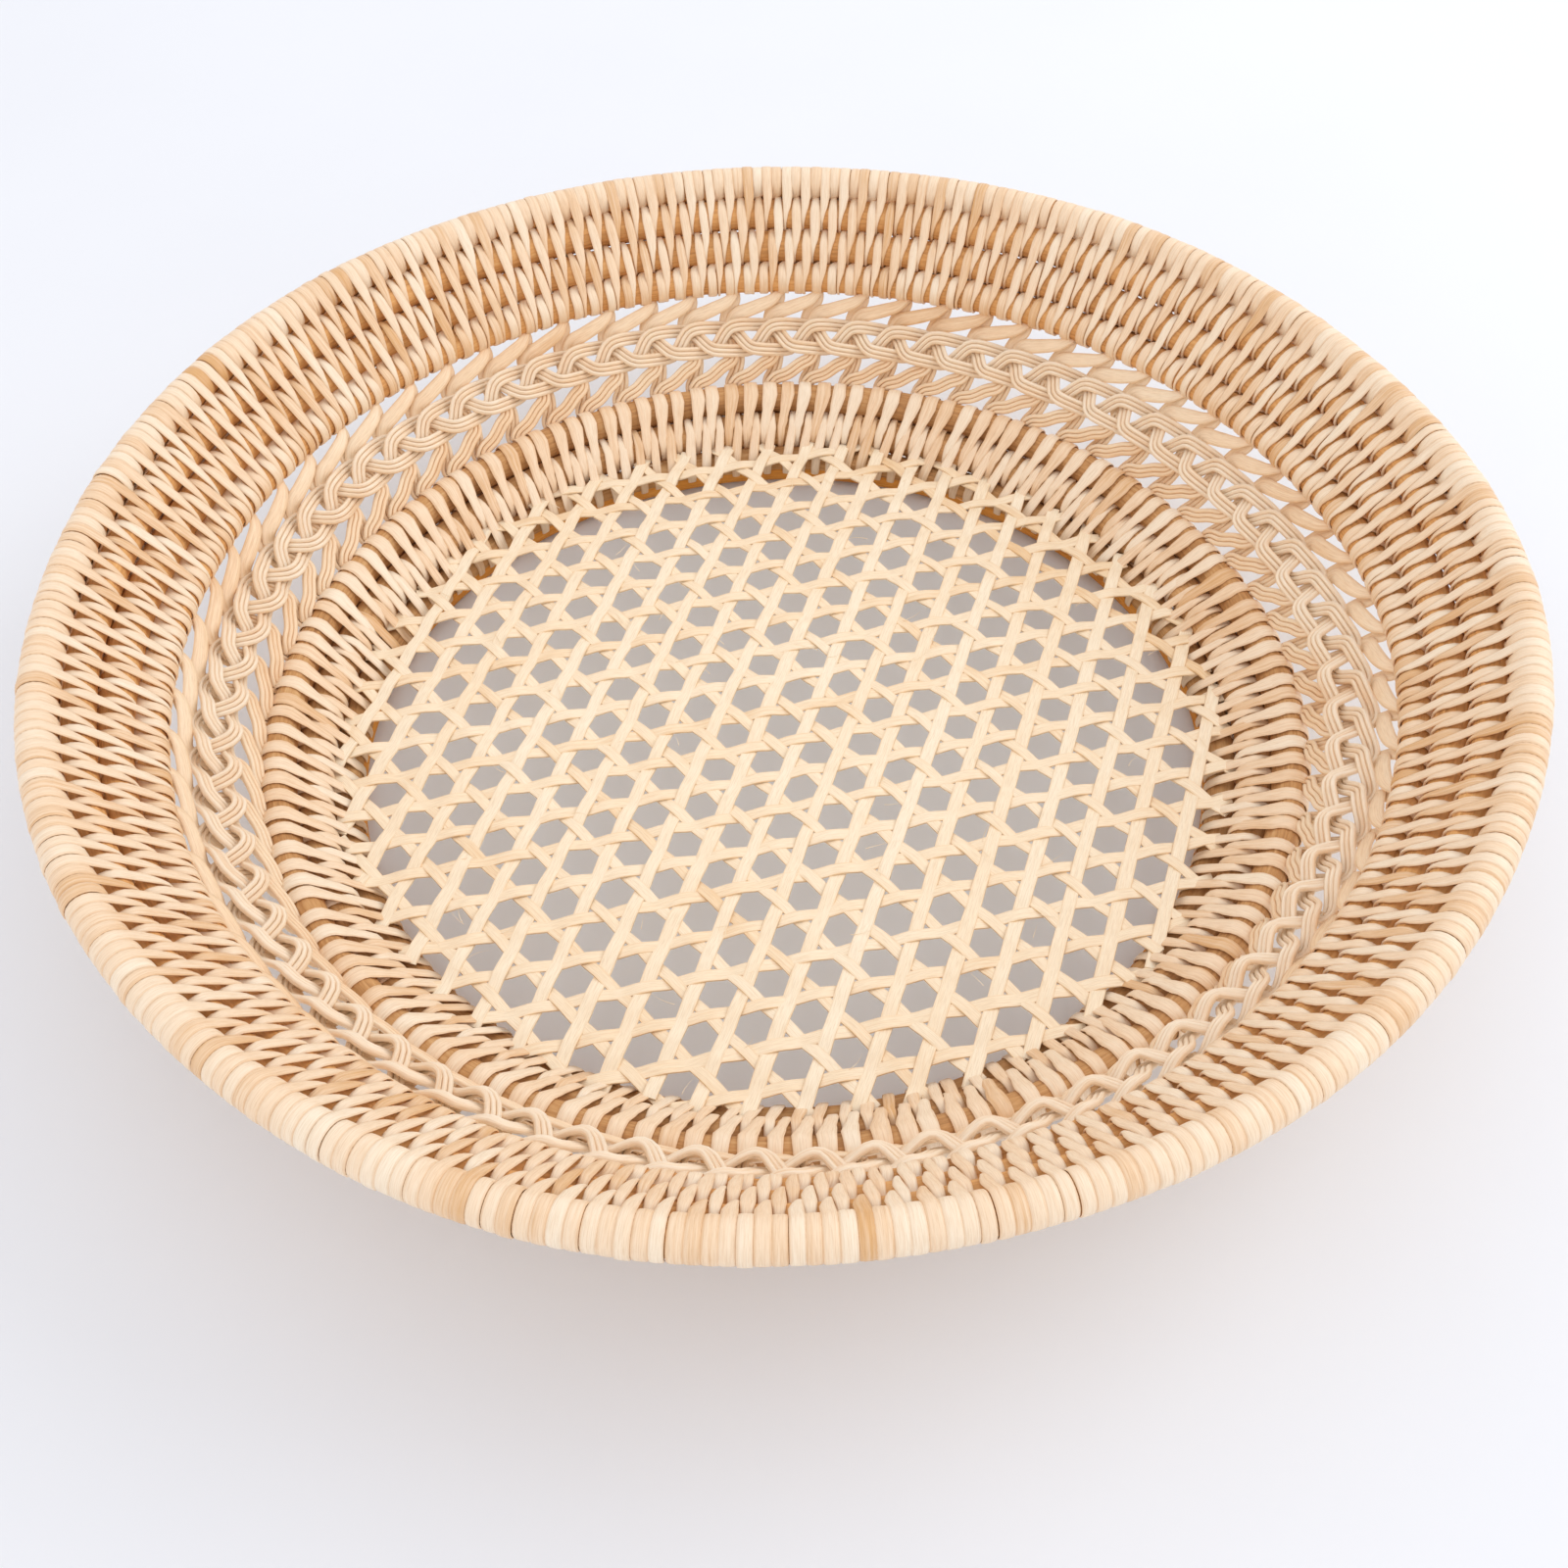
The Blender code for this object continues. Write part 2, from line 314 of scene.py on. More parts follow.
def build_rod(coil, finish, *nodes):
    """A brown rod bent into a ring, with the knobbly section of a natural stem."""
    stops = 420
    sides = 12
    angle = TAU * np.arange(stops)[:, None] / stops
    turn = TAU * np.arange(sides)[None, :] / sides
    phase = RANDOM.random(4) * TAU
    knobs = 1 + 0.03 * np.sin(9 * angle + 2 * turn + phase[0])
    knobs = knobs + 0.025 * np.sin(23 * angle - turn + phase[1]) + 0.02 * np.sin(3 * turn + phase[2])
    outline = coil.around(turn, 0.0)[0] - coil.centre
    rings = around_axis(coil.centre + outline * knobs[..., None], np.broadcast_to(angle, (stops, sides)))
    weave = Weave(f"{coil.name}_stem")
    weave.points.append(rings.reshape(-1, 3))
    weave.quads.append(quads_between_rings(stops, stops, sides)[:, ::-1])
    length = TAU * coil.centre[0] / stops
    u_here, v_here = np.meshgrid(np.arange(stops) * length, np.arange(sides) / sides, indexing="ij")
    u_after = u_here + length
    v_other = v_here + 1 / sides
    places = ((u_here, v_here), (u_here, v_other), (u_after, v_other), (u_after, v_here))
    weave.grain.append(grain_of_quads(places)[:, ::-1])
    weave.tones.append(np.full(stops * sides, RANDOM.random()))
    weave.build(finish, "brown_rod", *nodes)


def build_foot_ring(foot, finish):
    """The bare ring inside the foot, which backs the border of the bottom."""
    ring = copy.copy(foot)
    ring.name = "foot_ring"
    ring.centre = np.array((FOOT_RING_RADIUS, FOOT_RING_HEIGHT))
    ring.thick = FOOT_RING_HALF
    ring.before = FOOT_RING_HALF
    ring.after = FOOT_RING_HALF
    build_rod(ring, finish)


def pair_outline(first, second, front=6, bend=9, back=5):
    """A taut loop around two rods in section: points, outward normals and stages.

    Stage 0-1 crosses the inner side, 1-2 rounds the second rod, 2-3 crosses the back and
    3-4 rounds the first rod."""
    ahead = np.arange(front)[:, None] / front
    behind = np.arange(back)[:, None] / back
    turn = math.pi * np.arange(bend) / bend
    span = second.centre - first.centre
    over, up = first.around(0.0, STRIP_LIFT)
    under, down = second.around(math.pi, STRIP_LIFT)
    round_second, facing_second = second.around(turn, STRIP_LIFT)
    round_first, facing_first = first.around(turn + math.pi, STRIP_LIFT)
    places = np.vstack((over + span * ahead, round_second, under - span * behind, round_first))
    normals = np.vstack((np.tile(up, (front, 1)), facing_second,
                         np.tile(down, (back, 1)), facing_first))
    bent = np.arange(bend) / bend
    stages = np.concatenate((ahead[:, 0], 1 + bent, 2 + behind[:, 0], 3 + bent))
    return places, normals, stages


def turn_values(values, stages, start=2.0, end=3.0):
    """One value for each turn of a wrapping, which changes to the next while on the back."""
    following = np.roll(values, -1)
    share = smooth(start, end, stages)
    return values[:, None] + (following - values)[:, None] * share[None, :]


def wrap(weave, outline, count, start, advance, width, jitter, change=(2.0, 3.0)):
    """Winds one strip round and round an outline, a turn for each stitch.

    The jitter of a stitch is in pitches, and each turn becomes the next one's during change."""
    places, normals, stages = outline
    shifts = turn_values(RANDOM.normal(0.0, jitter, count), stages, *change)
    turns = np.arange(count)[:, None] + advance[None, :] + shifts
    angle = start + TAU * turns / count
    lifts = turn_values(np.abs(RANDOM.normal(0.0, LIFT_SPREAD, count)), stages, *change)
    flat = places[None] + normals[None] * lifts[..., None]
    path = around_axis(flat, angle)
    faces = around_axis(np.broadcast_to(normals[None], flat.shape), angle)
    pitch = TAU * flat[..., 0] / count
    sizes = turn_values(1 + RANDOM.normal(0.0, WIDTH_SPREAD, count), stages, *change)
    tone = turn_values(np.clip(RANDOM.normal(0.5, TONE_SPREAD, count), 0, 1), stages, *change)
    weave.strip(path.reshape(-1, 3), faces.reshape(-1, 3), (pitch * width[None] * sizes).ravel(),
                STRIP_THICKNESS, tone.ravel(), closed=True)


def widths_at(stages, widths):
    """A stitch's width at each stage, from a short list of stages and widths."""
    return np.interp(stages, *np.transpose(widths))


def stitch_advance(stages, slant, widths):
    """How much of a pitch a stitch has moved on at each stage of its turn.

    As it dives it narrows from one side only, so its middle turns aside."""
    narrowed = widths_at(0.5, widths) - widths_at(np.clip(stages, 0.5, 1.5), widths)
    shift = slant * np.minimum(stages, 1.0) + narrowed / 2
    left = 1 - slant - narrowed[-1] / 2
    return shift + left * smooth(1.9, 3.1, stages)


def single_outline(coil, steps=22):
    """A loop around one rod in section, from its inner side and on along the wall."""
    turns = TAU * np.arange(steps) / steps
    places, normals = coil.around(turns, STRIP_LIFT)
    return places, normals, 4 * turns / TAU


def build_wall(coils, finish):
    """Rim wraps, three rows of stitches that each hold two coils, and the last coil's wraps."""
    start = 0.0
    outline = single_outline(coils[0])
    change = (0.5, 1.6)
    advance = smooth(*change, outline[2])
    full = np.full(len(advance), RIM_WIDTHS[0][1])
    half_pitch = 0.5 * TAU / WALL_STITCHES
    weave = Weave("rim_wraps")
    wrap(weave, outline, WALL_STITCHES, start + half_pitch, advance, full, jitter=0.015, change=change)
    weave.build(finish, "binding_cane", "rim_binding")
    rows = (
        (RIM_WIDTHS, 0.012, ("wall_2_binding",)),
        (WALL_WIDTHS, 0.03, ("wall_3_binding",)),
        (WALL_WIDTHS, 0.03, ()),
    )
    for row, (widths, jitter, nodes) in enumerate(rows):
        outline = pair_outline(coils[row], coils[row + 1])
        advance = stitch_advance(outline[2], WALL_SLANT, widths)
        weave = Weave(f"wall_stitches_{row + 1}")
        width = widths_at(outline[2], widths)
        wrap(weave, outline, WALL_STITCHES, start, advance, width, jitter)
        weave.build(finish, "binding_cane", *nodes)
        start += (WALL_SLANT + 0.5) * TAU / WALL_STITCHES
    outline = single_outline(coils[-1])
    change = (2.3, 3.7)
    advance = smooth(*change, outline[2])
    weave = Weave("wall_edge_wraps")
    wrap(weave, outline, WALL_STITCHES, start, advance, full, jitter=0.03, change=change)
    weave.build(finish, "binding_cane", "wall_4_binding")


def build_band(coils, finish):
    """Two rows of slanting stitches: over the shoulder and the lower coil, and on to the foot."""
    start = BAND_START
    rows = (
        ("band_stitches_1", SHOULDER_WIDTHS, ("shoulder_binding",)),
        ("band_stitches_2", FOOT_WIDTHS, ("band_lower_binding", "foot_binding")),
    )
    for row, (name, widths, nodes) in enumerate(rows):
        outline = pair_outline(coils[row], coils[row + 1])
        advance = stitch_advance(outline[2], BAND_SLANT, widths)
        width = widths_at(outline[2], widths)
        weave = Weave(name)
        wrap(weave, outline, BAND_STITCHES, start, advance, width, jitter=0.09)
        weave.build(finish, "binding_cane", *nodes)
        start += (BAND_SLANT + 0.5) * TAU / BAND_STITCHES


# ---------------------------------------------------------------- openwork band


class Openwork:
    """The slope between the last wall coil and the shoulder, in distances down and rises up."""

    def __init__(self, wall, shoulder):
        slope = shoulder.centre - wall.centre
        self.origin = wall.centre
        self.along = unit(slope)
        self.across = np.array((self.along[1], -self.along[0]))
        self.length = float(np.linalg.norm(slope))
        self.wall_edge = wall.after + STRIP_THICKNESS
        self.band_edge = self.length - shoulder.before - STRIP_THICKNESS
        low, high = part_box("braid_lead_1")
        middle = (low.z + high.z) / 2
        self.braid = (middle - self.origin[1]) / self.along[1]

    def points(self, distance, rise, angle):
        """Places around the basket, from distances down the slope and rises off it."""
        flat = self.origin + np.outer(distance, self.along) + np.outer(rise, self.across)
        return around_axis(flat, np.asarray(angle))

    def normals(self, angle):
        """The way the slope faces at each angle."""
        flat = np.broadcast_to(self.across, (len(angle), 2))
        return around_axis(flat, np.asarray(angle))


def round_curve(stops, samples):
    """A smooth closed curve through rows of values (Catmull-Rom)."""
    stops = np.asarray(stops, float)
    share = np.arange(samples) / samples
    before, after, later = np.roll(stops, 1, 0), np.roll(stops, -1, 0), np.roll(stops, -2, 0)
    t = share[None, :, None]
    a, b, c, d = (side[:, None, :] for side in (before, stops, after, later))
    curve = 0.5 * (2 * b + (c - a) * t + (2 * a - 5 * b + 4 * c - d) * t**2
                   + (3 * b - a - 3 * c + d) * t**3)
    return curve.reshape(-1, stops.shape[1])


def lattice_route(stops, direction, samples, jitter):
    """Repeats one unit's stops (distance, rise, angle in units, width) around the basket."""
    rows = []
    for number in range(UNITS):
        nudge = RANDOM.normal(0.0, jitter)
        for distance, rise, turn, width in stops:
            rows.append((distance, rise, direction * (number + turn) + nudge, width))
    rows = np.array(rows)
    turn = rows[:, 2] * TAU / UNITS
    curve = round_curve(np.column_stack((rows[:, 0], rows[:, 1], np.cos(turn), np.sin(turn),
                                         rows[:, 3])), samples)
    angle = np.arctan2(curve[:, 3], curve[:, 2])
    return curve[:, 0], curve[:, 1], angle, curve[:, 4]


def beside(path, up, offset):
    """A path shifted sideways, for canes that lie next to each other."""
    travel = unit(np.roll(path, -1, 0) - np.roll(path, 1, 0))
    return path + unit(np.cross(travel, up)) * offset


def build_outer_lattice(openwork, finish):
    """A flat cane that leans one way over the band and comes back steeply under it."""
    wall = openwork.wall_edge
    edge = openwork.braid - BRAID_HALF
    middle = (wall + edge) / 2
    under = openwork.braid
    stops = (
        (under, -0.0020, -0.14, 1.0),
        (edge + 0.0014, -0.0026, 0.0, 1.05),
        (edge - 0.0012, -0.0014, 0.14, 1.1),
        (wall + 0.0047, -0.0004, 0.42, 1.05),
        (wall + 0.0034, 0.0004, 0.74, 1.0),
        (wall + 0.0020, 0.0005, 0.99, 0.85),
        (wall - 0.0002, -0.0003, 1.18, 0.6),
        (wall - 0.0006, -0.0014, 1.22, 0.55),
        (wall + 0.0016, -0.0017, 1.18, 0.8),
        (middle, -0.0021, 1.06, 0.95),
        (edge - 0.0004, -0.0033, 0.93, 0.95),
        (under, -0.0031, 0.84, 0.8),
    )
    distance, rise, angle, width = lattice_route(stops, -1, 4, 0.03)
    path = openwork.points(distance, rise, angle)
    tone = 0.45 + 0.2 * np.sin(np.arange(len(path)) * 0.013)
    weave = Weave("outer_lattice")
    weave.strip(path, openwork.normals(angle), LATTICE_WIDTH * width, LATTICE_THICKNESS, tone,
                closed=True)
    weave.build(finish, "lattice_cane", "outer_cane_a", "outer_cane_b")


def build_inner_lattice(openwork, finish):
    """Three thin canes that curl out of the braid and lie down along the shoulder."""
    band = openwork.band_edge
    edge = openwork.braid + BRAID_HALF
    under = openwork.braid
    middle = (band + edge) / 2
    stops = (
        (under, -0.0014, 0.02, 1.0),
        (edge - 0.0012, 0.0006, -0.02, 1.0),
        (edge + 0.0010, 0.0016, 0.06, 1.0),
        (edge + 0.0026, 0.0017, 0.30, 1.0),
        (band - 0.0026, 0.0011, 0.62, 1.0),
        (band - 0.0012, 0.0003, 0.95, 0.85),
        (band + 0.0008, -0.0010, 1.12, 0.6),
        (band - 0.0010, -0.0018, 1.12, 0.8),
        (middle, -0.0010, 0.98, 1.0),
        (edge - 0.0006, -0.0006, 0.90, 1.0),
    )
    distance, rise, angle, width = lattice_route(stops, 1, 4, 0.03)
    path = openwork.points(distance, rise, angle)
    up = openwork.normals(angle)
    weave = Weave("inner_lattice")
    for number in (-1, 0, 1):
        shifted = beside(path, up, number * BUNDLE_CANE * 0.95)
        tone = 0.45 + 0.1 * number + 0.15 * np.sin(np.arange(len(path)) * 0.017 + number)
        weave.strip(shifted, up, BUNDLE_CANE * (0.6 + 0.4 * width), BUNDLE_CANE, tone,
                    closed=True, section=ROUND)
    weave.build(finish, "lattice_cane", "inner_cane_a", "inner_cane_b")


def build_braid(openwork, finish):
    """A plait of three leads, each made of three thin canes side by side."""
    turns = UNITS // 3
    samples = 26
    squareness = 2.3
    swing = BRAID_HALF - 1.5 * LEAD_CANE
    rise = 0.0019
    proud = 0.0008  # of the slope that the lattices lie in
    share = np.arange(turns * samples) / samples
    for lead in range(3):
        phase = TAU * share
        angle = TAU * (share + lead / 3) / turns
        cross = np.tanh(squareness * np.cos(phase)) / math.tanh(squareness)
        slow = 0.0002 * np.sin(5 * angle + lead) + 0.00015 * np.sin(17 * angle - lead)
        distance = openwork.braid + swing * cross + slow
        level = proud + BRAID_TILT * (distance - openwork.braid)
        path = openwork.points(distance, level + rise * np.sin(2 * phase), angle)
        up = openwork.normals(angle)
        weave = Weave(f"braid_plait_{lead + 1}")
        for number in (-1, 0, 1):
            shifted = beside(path, up, number * LEAD_CANE * 0.96)
            tone = 0.5 + 0.2 * np.sin(share * 1.3 + number * 2.1 + lead)
            weave.strip(shifted, up, LEAD_CANE, LEAD_CANE * 1.2, tone, closed=True, section=ROUND)
        weave.build(finish, "braid_cane", f"braid_lead_{lead + 1}")


# ---------------------------------------------------------------- hexagonal bottom


def family_axes(family):
    """The way the strips of a family run, and the way across them."""
    turn = BOTTOM_TURN + family * math.pi / 3
    run = np.array((math.cos(turn), math.sin(turn)))
    return run, np.array((-run[1], run[0]))


def crossings(family, offset, spacing, reach):
    """Where a strip meets the other two families, and whether it goes over them."""
    run, normal = family_axes(family)
    found = []
    for step, over in ((1, 1.0), (2, -1.0)):
        other_normal = family_axes((family + step) % 3)[1]
        slope = run @ other_normal
        for line in range(-reach, reach):
            place = ((line + 0.5) * spacing - offset * (normal @ other_normal)) / slope
            found.append((place, over))
    found.sort()
    return np.array(found)


def build_bottom(edge, level, finish):
    """Three families of flat strips woven over and under each other around open hexagons."""
    spacing = HOLE_PITCH * math.sqrt(3) / 2
    reach = int(edge / spacing) + 3
    nodes = ("cane_bottom",)
    for family in range(3):
        weave = Weave(f"bottom_strips_{60 * family}")
        run, normal = family_axes(family)
        for line in range(-reach, reach):
            offset = (line + 0.5) * spacing
            if abs(offset) > edge - LAST_STRIP_GAP:
                continue
            half = math.sqrt(edge**2 - offset**2)
            low = -half + RANDOM.normal(0.0, 0.0006)
            high = half + RANDOM.normal(0.0, 0.0006)
            along = np.linspace(low, high, max(int((high - low) / STRIP_STEP), 8))
            meets = crossings(family, offset, spacing, reach + 2)
            place = np.interp(along, meets[:, 0], np.arange(len(meets)))
            rise = WEAVE_RISE * meets[0, 1] * np.cos(math.pi * place)
            bow = 0.00025 * np.sin(along * 21 + line) + 0.0002 * np.sin(along * 57 + 2 * line)
            flat = run * along[:, None] + normal * (offset + bow + RANDOM.normal(0, 0.00012))[:, None]
            path = np.column_stack((flat, level + rise + BOTTOM_RISES[family]))
            up = np.broadcast_to(np.array((0.0, 0.0, 1.0)), path.shape)
            wide = BOTTOM_STRIPS[family] * (1 + RANDOM.normal(0.0, 0.04))
            wide = wide * (1 + 0.03 * np.sin(along * 90 + 3 * line))
            # The 60° family's paler mean tone is a painted highlight.
            tone = np.clip(RANDOM.normal(BOTTOM_TONES_AND_HIGHLIGHT[family], 0.14), 0, 1)
            weave.strip(path, up, wide, BOTTOM_THICKNESS, tone, section=CRISP)
        weave.build(finish, "bottom_cane", *nodes)
        nodes = ()


def build_fibres(edge, level, finish):
    """Fine hairs that split off the strips' edges and stand a little proud."""
    weave = Weave("bottom_fibres")
    stops = 8
    share = np.linspace(0, 1, stops)
    up = np.broadcast_to(np.array((0.0, 0.0, 1.0)), (stops, 3))
    for number in range(FIBRES):
        radius = edge * math.sqrt(RANDOM.uniform(0.02, 0.97))
        angle = RANDOM.uniform(0, TAU)
        heading = BOTTOM_TURN + math.pi / 3 * RANDOM.integers(0, 3) + RANDOM.normal(0.0, 0.3)
        step = RANDOM.uniform(0.003, 0.009) / (stops - 1)
        turn = heading + RANDOM.normal(0.0, 0.5) * share
        x = radius * math.cos(angle) + np.cumsum(np.cos(turn)) * step
        y = radius * math.sin(angle) + np.cumsum(np.sin(turn)) * step
        z = level + 0.0009 + RANDOM.uniform(0.0002, 0.0012) * share**2
        thin = 0.00016 * (1.1 - share)
        weave.strip(np.column_stack((x, y, z)), up, thin, thin, 0.8, section=ROUND)
    weave.build(finish, "bottom_cane")


# ---------------------------------------------------------------- materials


class Nodes:
    """Short names for building a material's node tree."""

    def __init__(self, name):
        self.made = bpy.data.materials.new(name)
        self.made.use_nodes = True
        self.tree = self.made.node_tree
        self.shader = self.tree.nodes["Principled BSDF"]

    def add(self, kind, **values):
        node = self.tree.nodes.new(kind)
        for key, value in values.items():
            setattr(node, key, value)
        return node

    def link(self, source, target):
        self.tree.links.new(source, target)

    def math(self, operation, first, second=None):
        node = self.add("ShaderNodeMath", operation=operation)
        for socket, value in zip(node.inputs, (first, second)):
            if value is None:
                continue
            if isinstance(value, (int, float)):
                socket.default_value = value
            else:
                self.link(value, socket)
        return node.outputs[0]

    def noise(self, vector, scale, detail=3.0, roughness=0.55):
        node = self.add("ShaderNodeTexNoise")
        node.inputs["Scale"].default_value = scale
        node.inputs["Detail"].default_value = detail
        node.inputs["Roughness"].default_value = roughness
        self.link(vector, node.inputs["Vector"])
        return node.outputs["Fac"]

    def ramp(self, factor, *stops):
        node = self.add("ShaderNodeValToRGB")
        while len(node.color_ramp.elements) < len(stops):
            node.color_ramp.elements.new(0.5)
        for element, (place, colour) in zip(node.color_ramp.elements, stops):
            element.position = place
            element.color = (*colour, 1.0)
        self.link(factor, node.inputs["Fac"])
        return node.outputs["Color"]

    def mix(self, factor, first, second, blend="MIX"):
        node = self.add("ShaderNodeMix", data_type="RGBA", blend_type=blend)
        sockets = (node.inputs[0], node.inputs[6], node.inputs[7])
        for socket, value in zip(sockets, (factor, first, second)):
            if isinstance(value, (int, float)):
                socket.default_value = value
            elif isinstance(value, tuple):
                socket.default_value = (*value, 1.0)
            else:
                self.link(value, socket)
        return node.outputs[2]

    def scaled(self, vector, scale):
        node = self.add("ShaderNodeMapping")
        node.inputs["Scale"].default_value = scale
        self.link(vector, node.inputs["Vector"])
        return node.outputs["Vector"]


def cane_material(name, pale, warm, dark, roughness):
    """Split cane: fine fibres along each strip, a slow change of colour and darker edges: some wear, and
    painted shade where strips meet.
    """
    n = Nodes(name)
    grain = n.add("ShaderNodeUVMap", uv_map="grain").outputs["UV"]
    place = n.add("ShaderNodeNewGeometry").outputs["Position"]
    tone = n.add("ShaderNodeAttribute", attribute_name="tone").outputs["Fac"]
    fibres = n.noise(n.scaled(grain, (260.0, 14.0, 1.0)), 1.0, 4.0, 0.6)
    streaks = n.noise(n.scaled(grain, (55.0, 5.0, 1.0)), 1.0, 3.0, 0.5)
    clouds = n.noise(place, 38.0, 3.0, 0.55)
    mixed = n.math("ADD", n.math("MULTIPLY", tone, 0.42), n.math("MULTIPLY", streaks, 0.38))
    mixed = n.math("ADD", mixed, n.math("MULTIPLY", clouds, 0.34))
    colour = n.ramp(mixed, (0.30, dark), (0.52, warm), (0.78, pale))
    # Darker towards each strip's edges: a little wear, and painted shade in the creases where strips
    # meet.
    across = n.add("ShaderNodeSeparateXYZ")
    n.link(grain, across.inputs[0])
    edge = n.math("ABSOLUTE", n.math("SUBTRACT", across.outputs["Y"], 0.5))
    rim = n.add("ShaderNodeMapRange")
    rim.inputs["From Min"].default_value = 0.33
    rim.inputs["From Max"].default_value = 0.5
    n.link(edge, rim.inputs["Value"])
    shade = n.math("MULTIPLY", rim.outputs[0], 0.42)
    colour = n.mix(shade, colour, dark)
    lines = n.ramp(fibres, (0.36, (0.80, 0.72, 0.62)), (0.56, (1.0, 1.0, 1.0)))
    colour = n.mix(0.55, colour, lines, "MULTIPLY")
    n.link(colour, n.shader.inputs["Base Color"])
    rough = n.add("ShaderNodeMapRange")
    rough.inputs["To Min"].default_value = roughness - 0.08
    rough.inputs["To Max"].default_value = roughness + 0.14
    n.link(streaks, rough.inputs["Value"])
    n.link(rough.outputs[0], n.shader.inputs["Roughness"])
    n.shader.inputs["Coat Weight"].default_value = 0.12
    n.shader.inputs["Coat Roughness"].default_value = 0.28
    bump = n.add("ShaderNodeBump")
    bump.inputs["Strength"].default_value = 0.35
    bump.inputs["Distance"].default_value = 0.00012
    n.link(fibres, bump.inputs["Height"])
    n.link(bump.outputs["Normal"], n.shader.inputs["Normal"])
    return n.made


def rod_material(name, pale, warm, dark):
    """A dry stem: long fibres, dark streaks and a dull surface."""
    n = Nodes(name)
    grain = n.add("ShaderNodeUVMap", uv_map="grain").outputs["UV"]
    fibres = n.noise(n.scaled(grain, (120.0, 30.0, 1.0)), 1.0, 5.0, 0.65)
    place = n.add("ShaderNodeNewGeometry").outputs["Position"]
    clouds = n.noise(place, 60.0, 3.0, 0.6)
    mixed = n.math("ADD", n.math("MULTIPLY", fibres, 0.6), n.math("MULTIPLY", clouds, 0.4))
    colour = n.ramp(mixed, (0.30, dark), (0.50, warm), (0.68, pale))
    n.link(colour, n.shader.inputs["Base Color"])
    n.shader.inputs["Roughness"].default_value = 0.72
    bump = n.add("ShaderNodeBump")
    bump.inputs["Strength"].default_value = 0.6
    bump.inputs["Distance"].default_value = 0.0003
    n.link(fibres, bump.inputs["Height"])
    n.link(bump.outputs["Normal"], n.shader.inputs["Normal"])
    return n.made


def floor_material():
    """A smooth pale table top with the faintest clouding."""
    n = Nodes("pale_floor")
    place = n.add("ShaderNodeNewGeometry").outputs["Position"]
    clouds = n.noise(place, 6.0, 3.0, 0.5)
    colour = n.ramp(clouds, (0.3, (0.83, 0.85, 0.88)), (0.7, (0.852, 0.872, 0.902)))
    n.link(colour, n.shader.inputs["Base Color"])
    n.shader.inputs["Roughness"].default_value = 0.6
    return n.made


# ---------------------------------------------------------------- stage


def build_floor():
    """A plain table top just under the foot."""
    size = 3.0
    mesh = bpy.data.meshes.new("floor")
    corners = [(-size, -size, 0), (size, -size, 0), (size, size, 0), (-size, size, 0)]
    mesh.from_pydata(corners, [], [(0, 1, 2, 3)])
    mesh.materials.append(floor_material())
    floor = bpy.data.objects.new("floor", mesh)
    floor.location.z = CAD_BOX[0].z - 0.0002
    bpy.context.scene.collection.objects.link(floor)


def area_light(name, place, size, power, colour):
    """A round soft light aimed at the middle of the basket."""
    aim = Vector((0, 0, 0.03))
    light = bpy.data.lights.new(name, "AREA")
    light.shape = "DISK"
    light.size = size
    light.energy = power
    light.color = colour
    made = bpy.data.objects.new(name, light)
    made.location = place
    made.rotation_euler = (aim - Vector(place)).to_track_quat("-Z", "Y").to_euler()
    bpy.context.scene.collection.objects.link(made)


def build_lights():
    """A white room, a key light at the right and a weak fill at the near left."""
    area_light("key", (1.25, 0.35, 0.95), size=1.3, power=7.0, colour=(0.95, 0.975, 1.0))
    area_light("fill", (-0.6, -1.2, 1.1), size=1.4, power=2.0, colour=(1.0, 0.98, 1.0))
    world = bpy.data.worlds.new("studio")
    world.use_nodes = True
    background = world.node_tree.nodes["Background"]
    background.inputs["Color"].default_value = (0.97, 0.965, 1.0, 1.0)
    background.inputs["Strength"].default_value = 0.99
    bpy.context.scene.world = world
    bpy.context.scene.view_settings.view_transform = "Standard"


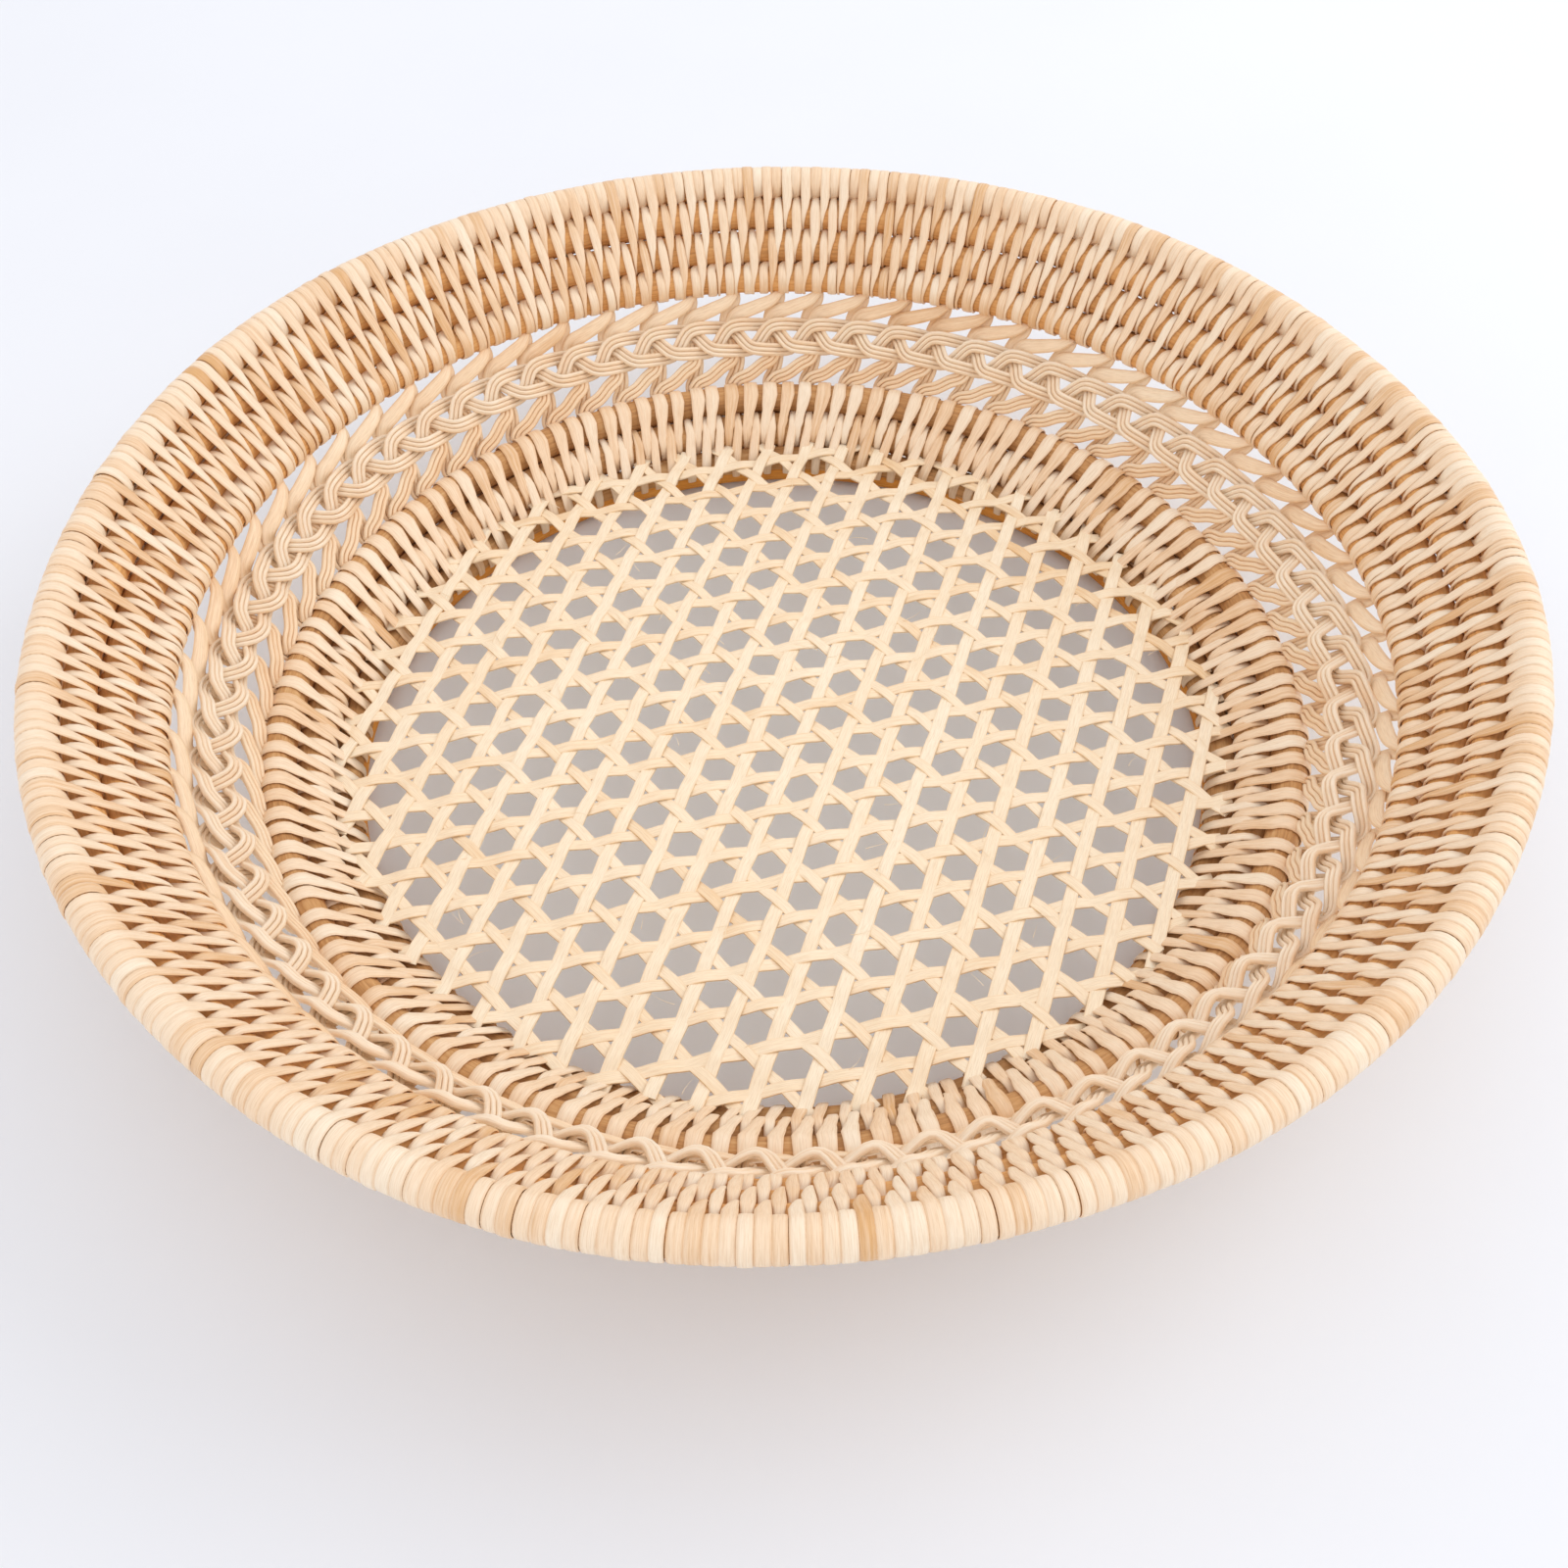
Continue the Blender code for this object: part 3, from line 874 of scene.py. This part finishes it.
def build_camera(rim):
    """Above the near side, looking down into the basket and a little short of its middle."""
    away = 0.4082
    line = math.radians(42.8)  # down from level, towards the middle of the rim
    pitch = math.radians(49.97)  # of the view's axis, down from level
    roll = math.radians(-1.63)
    target = Vector((0.0, 0.0, rim.centre[1]))
    place = target + away * Vector((0.0, -math.cos(line), math.sin(line)))
    lens = bpy.data.cameras.new("camera")
    lens.lens = 39.375
    lens.sensor_width = 36.0
    lens.clip_start = 0.01
    camera = bpy.data.objects.new("camera", lens)
    turn = Matrix.Rotation(math.pi / 2 - pitch, 4, "X") @ Matrix.Rotation(roll, 4, "Z")
    camera.matrix_world = Matrix.Translation(place) @ turn
    bpy.context.scene.collection.objects.link(camera)
    bpy.context.scene.camera = camera


def main():
    wall = coils_side_by_side(WALL_COILS)
    band = coils_side_by_side(BAND_COILS)
    rod = rod_material("brown_rod", (0.74, 0.45, 0.20), (0.58, 0.29, 0.10), (0.30, 0.12, 0.035))
    wall_rod = rod_material("wall_rod", (0.88, 0.52, 0.21), (0.74, 0.37, 0.12), (0.42, 0.17, 0.045))
    ring = rod_material("bare_ring", (0.90, 0.42, 0.08), (0.78, 0.31, 0.04), (0.52, 0.17, 0.02))
    # The third colour of each cane is its darkest tone, and also the painted shade at its strips' edges.
    binding = cane_material("binding_cane", (0.965, 0.815, 0.62), (0.925, 0.695, 0.47),
                            (0.74, 0.42, 0.17), 0.42)
    lattice = cane_material("lattice_cane", (0.98, 0.82, 0.60), (0.95, 0.72, 0.48),
                            (0.78, 0.46, 0.21), 0.45)
    braid = cane_material("braid_cane", (0.99, 0.86, 0.68), (0.97, 0.79, 0.58),
                          (0.84, 0.54, 0.29), 0.42)
    bottom = cane_material("bottom_cane", (0.985, 0.85, 0.64), (0.97, 0.785, 0.545),
                           (0.86, 0.57, 0.29), 0.42)
    build_camera(wall[0])
    build_lights()
    build_floor()
    for coil in wall:
        build_rod(coil, wall_rod, f"{coil.name}_rod")
    for coil in band:
        build_rod(coil, rod, f"{coil.name}_rod")
    build_foot_ring(band[-1], ring)
    build_wall(wall, binding)
    build_band(band, binding)
    openwork = Openwork(wall[-1], band[0])
    build_outer_lattice(openwork, lattice)
    build_inner_lattice(openwork, lattice)
    build_braid(openwork, braid)
    low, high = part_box("cane_bottom")
    edge = high.x + BOTTOM_TUCK
    level = (low.z + high.z) / 2 - BOTTOM_THICKNESS / 2
    build_bottom(edge, level, bottom)
    build_fibres(edge, level, bottom)


main()
